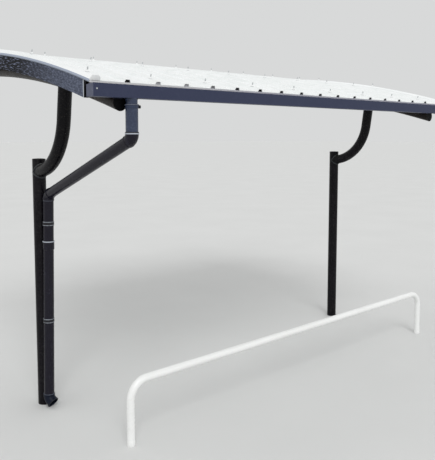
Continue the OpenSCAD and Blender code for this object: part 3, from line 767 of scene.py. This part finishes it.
def rib_closures():
    depth = 0.020
    recess = 0.003
    slack = 0.0006
    rounding = 0.001
    master = rib_block(
        "rib_closure", RIB_FOOT - 2 * SHEET_T - slack, RIB_TOP - SHEET_T - slack, depth,
        RIB_H - slack)
    opened(master)
    bpy.ops.mesh.bevel(offset=rounding, segments=2, affect="EDGES")
    bpy.ops.object.mode_set(mode="OBJECT")
    made = []
    for k in range(RIBS):
        x = RIB_START + k * RIB_PITCH
        y = EAVE_Y + recess + depth / 2
        plug = copied(master, f"rib_closure_{k}")
        made.append(placed(plug, on_arch(x, y, ROOF_R + slack / 2)))
    bpy.data.objects.remove(master)
    return joined("rib_closures", made)


# ---- folded ends that close the gable flashings, front and back ----

def flashing_end():
    """A plate with the outer outline of the flashing, in front of its end, standing on the sheet
    with the gable line on X = 0."""
    slack = 0.0001
    plate_t = 0.0012
    foot = SHEET_T + slack
    outer_x = slack - FLASHING_T
    clear_selection()
    bpy.ops.mesh.primitive_cube_add(size=1, location=(0, 0, 0))
    plate = started("flashing_end")
    opened(plate)
    bpy.ops.transform.resize(value=(FLASHING_W - outer_x, plate_t, FLASHING_CROWN - foot))
    bpy.ops.transform.translate(value=(
        (FLASHING_W + outer_x) / 2, -plate_t / 2 - slack, (FLASHING_CROWN + foot) / 2))
    slope_top = Vector((FLASHING_SLOPE_W - FLASHING_T, 0, FLASHING_CROWN))
    slope_side = Vector((FLASHING_SHOULDER - FLASHING_CROWN, 0, FLASHING_SLOPE_W))
    chamfer_top = Vector((FLASHING_W - FLASHING_CHAMFER, 0, FLASHING_CROWN))
    chamfer_side = Vector((1, 0, 1))
    for corner, outwards in ((slope_top, slope_side), (chamfer_top, chamfer_side)):
        bpy.ops.mesh.select_all(action="SELECT")
        bpy.ops.mesh.bisect(
            plane_co=corner, plane_no=outwards.normalized(), use_fill=True, clear_outer=True)
    bpy.ops.object.mode_set(mode="OBJECT")
    return plate


def flashing_ends():
    """The four ends. Two are mirror images, so points are merged and faces turned outwards."""
    same_point = 0.000001
    master = flashing_end()
    made = []
    for y, outwards in ((EAVE_Y, 1), (BACK_Y, -1)):
        for x, across in ((GABLE_X, 1), (POST_SPACING - GABLE_X, -1)):
            facing = Matrix.Diagonal((across, outwards, 1, 1))
            end = placed(copied(master, "flashing_end"), on_arch(x, y, ROOF_R) @ facing)
            opened(end)
            bpy.ops.mesh.remove_doubles(threshold=same_point)
            turned_out(end)
            made.append(end)
    bpy.data.objects.remove(master)
    return joined("flashing_ends", made)


# ---- welds where the arms meet the posts and the rafters ----

def until(test, start, stop):
    """Where the test, true at start and false at stop, turns, found by halving."""
    halvings = 40
    for _ in range(halvings):
        middle = (start + stop) / 2
        if test(middle):
            start = middle
        else:
            stop = middle
    return start


def weld(name, x, root, along, across, outside):
    """A bead round the arm where it meets a tube: a ring pushed along the arm on to that tube."""
    bead_r = 0.0060
    proud = 0.0004
    ripple = 0.0006
    ripples = 34
    furthest = 0.30
    clear_selection()
    bpy.ops.mesh.primitive_torus_add(
        major_segments=144, minor_segments=10, major_radius=ARM_R + proud, minor_radius=bead_r,
        location=(0, 0, 0))
    piece = started(name)
    for vertex in piece.data.vertices:
        turn = math.atan2(vertex.co.y, vertex.co.x)
        rim = root + across * (ARM_R * math.sin(turn))
        side = ARM_R * math.cos(turn)
        slide = until(lambda s: outside(side, rim + along * s), furthest, -furthest)
        lump = 1 + ripple / bead_r * math.sin(ripples * turn)
        out = math.hypot(vertex.co.x, vertex.co.y) - ARM_R
        ring = Vector((math.cos(turn), 0, 0)) + across * math.sin(turn)
        at = ring * (ARM_R + out * lump) + along * (slide + vertex.co.z * lump)
        vertex.co = Vector((x, 0, 0)) + root + at
    turned_out(piece)
    bpy.ops.object.shade_smooth()
    return piece


def welds(x, which):
    lead = Vector((0, -math.cos(ARM_START), math.sin(ARM_START)))
    lead_up = Vector((0, math.sin(ARM_START), math.cos(ARM_START)))
    root = Vector((0, 0, ARM_ROOT_Z))

    def clear_of_post(side, point):
        return math.hypot(side, point.y) > POST_R and point.y < 0

    bend_end = root + lead * ARM_LEAD + Vector((
        0, -ARM_BEND_R * (math.sin(ARM_END) - math.sin(ARM_START)),
        ARM_BEND_R * (math.cos(ARM_START) - math.cos(ARM_END))))
    rise = Vector((0, -math.cos(ARM_END), math.sin(ARM_END)))
    rise_up = Vector((0, math.sin(ARM_END), math.cos(ARM_END)))

    def clear_of_rafter(side, point):
        height = math.hypot(point.y - APEX_Y, point.z - ARCH_Z)
        return height < RAFTER_R - math.sqrt(max(POST_R ** 2 - side ** 2, 0))

    foot = weld(f"arm_root_weld_{which}", x, root, lead, lead_up, clear_of_post)
    head = weld(f"arm_head_weld_{which}", x, bend_end, -rise, rise_up, clear_of_rafter)
    return [foot, head]


# ---- small fittings ----

TO_FRONT = Matrix.Rotation(math.radians(90), 4, "X")


def hex_bolt(name, reach):
    """A hexagon bolt along Z, its head above Z = 0 and its nut below the reach."""
    chamfer_in, chamfer_h = 0.0008, 0.0006
    head_r, head_h = 0.0064, 0.0050
    crown_in, crown_h = 0.0010, 0.0008
    head = lathed("head", [
        (head_r - chamfer_in, 0), (head_r, chamfer_h),
        (head_r, head_h - crown_h), (head_r - crown_in, head_h),
    ], sides=6)
    shank_r, past_reach, into_head = 0.0030, 0.008, 0.0005
    shank = lathed("shank", [(shank_r, -reach - past_reach), (shank_r, into_head)], sides=16)
    nut_r, nut_h = 0.0058, 0.0050
    nut = lathed("nut", [
        (nut_r - chamfer_in, -reach - nut_h), (nut_r, -reach - nut_h + chamfer_h),
        (nut_r, -reach - chamfer_h), (nut_r - chamfer_in, -reach),
    ], sides=6)
    return joined(name, [head, shank, nut])


def outlet_band_bolt():
    """Closes the band's ear under the gutter's outlet."""
    ear_w = 0.009
    past_pipe = 0.0105
    below_mouth = 0.004
    band_h = 0.015
    ear_x = OUTLET_X + PIPE_R + past_pipe
    ear_z = MOUTH_Z - below_mouth - band_h / 2
    bolt = hex_bolt("outlet_band_bolt", ear_w)
    return placed(bolt, Matrix.Translation((ear_x, OUTLET_Y - ear_w / 2, ear_z)) @ TO_FRONT)


def gutter_screws():
    """Pan head screws that hold the caps to the gutter's face."""
    past_post = 0.155
    screw_z = 1.8187
    rim_r, rim_h = 0.0042, 0.0008
    dome_r, dome_h = 0.0036, 0.0022
    top_r, top_h = 0.0022, 0.0030
    recess_r, recess_h = 0.0012, 0.0024
    made = []
    for x in (-past_post, POST_SPACING + past_post):
        screw = lathed("screw", [
            (rim_r, 0), (rim_r, rim_h), (dome_r, dome_h), (top_r, top_h), (recess_r, recess_h),
        ], sides=20)
        made.append(placed(screw, Matrix.Translation((x, GUTTER_Y, screw_z)) @ TO_FRONT))
    return joined("gutter_screws", made)


def hanger_bolts():
    """Fix each gutter hanger to the face of the front purlin."""
    y = PURLIN_YS[0]
    under_sheet = {"low": 0.036, "high": 0.016}
    face = Matrix.Translation((0, -PURLIN_W / 2 - HANGER_T, 0))
    made = []
    for i, x in enumerate(HANGER_XS):
        for which, drop in under_sheet.items():
            bolt = hex_bolt(f"hanger_bolt_{i}_{which}", HANGER_T + PURLIN_T)
            made.append(placed(bolt, on_arch(x, y, ROOF_R - drop) @ face @ TO_FRONT))
    return joined("hanger_bolts", made)


def cleat_bolts():
    """Hold the purlins down on their cleats, two to a cleat, either side of the rafter's crown."""
    half_gap = 0.016
    made = []
    for row, y in enumerate(PURLIN_YS):
        for middle in (0.0, POST_SPACING):
            for x in (middle - half_gap, middle + half_gap):
                bolt = hex_bolt(f"cleat_bolt_{row}", PURLIN_T)
                made.append(placed(bolt, on_arch(x, y, ROOF_R - PURLIN_H + PURLIN_T)))
    return joined("cleat_bolts", made)


def painted_highlight_beads(which):
    """Sealant beads at the joints of the rainwater pipe, coloured as painted highlights on the
    joints'
    rims: pale round the upper elbow's socket and at the stack's bell, and dimmer at the outlet,
    under the lower elbow and over the shoe."""
    up_stack = (STACK_HEAD - STACK_FOOT).normalized()
    lean = Matrix.Rotation(math.atan2(up_stack.x, up_stack.z), 4, "Y")

    def on_outlet(z):
        return Matrix.Translation((OUTLET_X, OUTLET_Y, z))

    def on_stack(z):
        along = (z - STACK_FOOT.z) / up_stack.z
        return Matrix.Translation(STACK_FOOT + up_stack * along) @ lean

    # How far the foot of each bead is under the height that it is set out from
    under_socket, under_bell, under_mouth, under_elbow, under_shoe_top = (
        0.011, 0.002, 0.0055, 0.002, 0.001)
    elbow_socket = on_outlet(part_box("elbow_upper")[1][2] - under_socket)
    bell = on_stack(BELL_TOP - under_bell)
    outlet_mouth = on_outlet(MOUTH_Z - under_mouth)
    elbow_foot = on_stack(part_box("elbow_lower")[0][2] - under_elbow)
    shoe_top = on_stack(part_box("pipe_shoe")[1][2] - under_shoe_top)
    beads = {
        "pale": [
            (elbow_socket, {"inner": SOCKET_R, "outer": SOCKET_R + 0.0012, "height": 0.006}),
            (bell, {"inner": SOCKET_R - 0.0005, "outer": SOCKET_R + 0.0015, "height": 0.006}),
        ],
        "dull": [
            (outlet_mouth, {"inner": PIPE_R - 0.0017, "outer": SOCKET_R + 0.0015, "height": 0.004}),
            (elbow_foot, {"inner": PIPE_R, "outer": PIPE_R + 0.0020, "height": 0.004}),
            (shoe_top, {"inner": PIPE_R, "outer": PIPE_R + 0.0018, "height": 0.003}),
        ],
    }
    made = [
        placed(ring_band(f"joint_bead_{which}_{i}", **sizes), place)
        for i, (place, sizes) in enumerate(beads[which])
    ]
    return joined(f"joint_beads_{which}", made)


def rail_collars():
    """Paint that has pooled round the rail's feet and dried as a low collar, thin at its top."""
    bite = 0.0004
    foot_t = 0.0016
    top_t = 0.0002
    height = 0.030
    thin_from = 0.020
    made = []
    for x in RAIL_XS:
        collar = ring_band("rail_collar", RAIL_R - bite, RAIL_R + foot_t, height)
        opened(collar)
        form = bmesh.from_edit_mesh(collar.data)
        for vertex in form.verts:
            high = vertex.co.z > thin_from
            vertex.select = high and math.hypot(vertex.co.x, vertex.co.y) > RAIL_R
        form.select_flush_mode()
        bmesh.update_edit_mesh(collar.data)
        shrink = (RAIL_R + top_t) / (RAIL_R + foot_t)
        bpy.ops.transform.resize(value=(shrink, shrink, 1), center_override=(0, 0, 0))
        bpy.ops.object.mode_set(mode="OBJECT")
        made.append(placed(collar, Matrix.Translation((x, RAIL_Y, 0))))
    return joined("rail_collars", made)


# ---- the shelter ----

def shelter():
    for finish, nodes in NODE_FINISHES.items():
        for node in nodes:
            dress(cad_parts[node], finish)
    finished(at_roof_bolts("roof_bolts", washer_and_nut()), "white_bolt_cap")
    finished(at_roof_bolts("roof_bolt_studs", bolt_stud()), "bright_bolt")
    finished(at_roof_bolts("roof_bolt_seals", bolt_seal()), "grey_bolt_seal")
    finished(rib_closures(), "rib_end_foam_and_shade")
    finished(flashing_ends(), "white_flashing_coat")
    for x, which in ((0.0, "near"), (POST_SPACING, "far")):
        for bead in welds(x, which):
            finished(bead, "painted_weld")
    finished(outlet_band_bolt(), "dark_zinc_bolt")
    finished(gutter_screws(), "bright_bolt")
    finished(hanger_bolts(), "dark_zinc_bolt")
    finished(cleat_bolts(), "dark_zinc_bolt")
    for which in ("pale", "dull"):
        finished(painted_highlight_beads(which), f"{which}_joint_bead")
    finished(rail_collars(), "white_rail_enamel")


# ---- stage: pale floor, plain backdrop and soft studio light ----

def floor():
    floor_w = 400
    clear_selection()
    bpy.ops.mesh.primitive_plane_add(size=floor_w, location=(0, 0, 0))
    piece = started("floor")
    material, tree, place = new_material("pale_floor")
    mottle_mm = 900
    mottle = add(tree, "TexNoise", {
        "Vector": place, "Scale": per_mm(mottle_mm), "Detail": 3.0, "Roughness": 0.5})["Fac"]
    mottled = add(tree, "MapRange", {
        "Value": mottle, "From Min": 0.3, "From Max": 0.7})["Result"]
    colour = add(tree, "Mix", {
        MIX: mottled, FIRST: "#d6d7d6", SECOND: "#d9dad9"}, data_type="RGBA")[MIXED]
    surfaced(material, {"Base Color": colour, "Roughness": 0.9, "Specular IOR Level": 0.2})
    piece.data.materials.append(material)


def studio():
    """Even light all round, a pale backdrop for what looks past the shelter, and one soft lamp, at
    levels where a colour renders about as it is written."""
    light_strength = 0.76
    backdrop_strength = 1.0
    lamp_strength = 1.1
    lamp_spread = math.radians(28)
    lamp_aim = Vector((0.45, 0.80, -0.90))
    scene = bpy.context.scene
    scene.view_settings.view_transform = "Standard"
    world = bpy.data.worlds.new("studio")
    world.use_nodes = True
    tree = world.node_tree
    tree.nodes.clear()
    rays = add(tree, "LightPath")
    direct = add(tree, "Math", {
        0: rays["Is Camera Ray"], 1: rays["Is Transmission Ray"]}, operation="MAXIMUM")["Value"]
    seen = add(tree, "Math", {
        0: direct, 1: rays["Is Glossy Ray"]}, operation="MAXIMUM")["Value"]
    soft = add(tree, "Background", {"Color": "#ffffff", "Strength": light_strength})["Background"]
    shown = add(tree, "Background", {
        "Color": "#d8d9d9", "Strength": backdrop_strength})["Background"]
    both = add(tree, "MixShader", {0: seen, 1: soft, 2: shown})["Shader"]
    add(tree, "OutputWorld", {"Surface": both})
    scene.world = world
    sun = bpy.data.lights.new("softbox", "SUN")
    sun.energy = lamp_strength
    sun.angle = lamp_spread
    lamp = bpy.data.objects.new("softbox", sun)
    scene.collection.objects.link(lamp)
    lamp.rotation_euler = lamp_aim.to_track_quat("-Z", "Y").to_euler()


photograph_camera()
shelter()
floor()
studio()
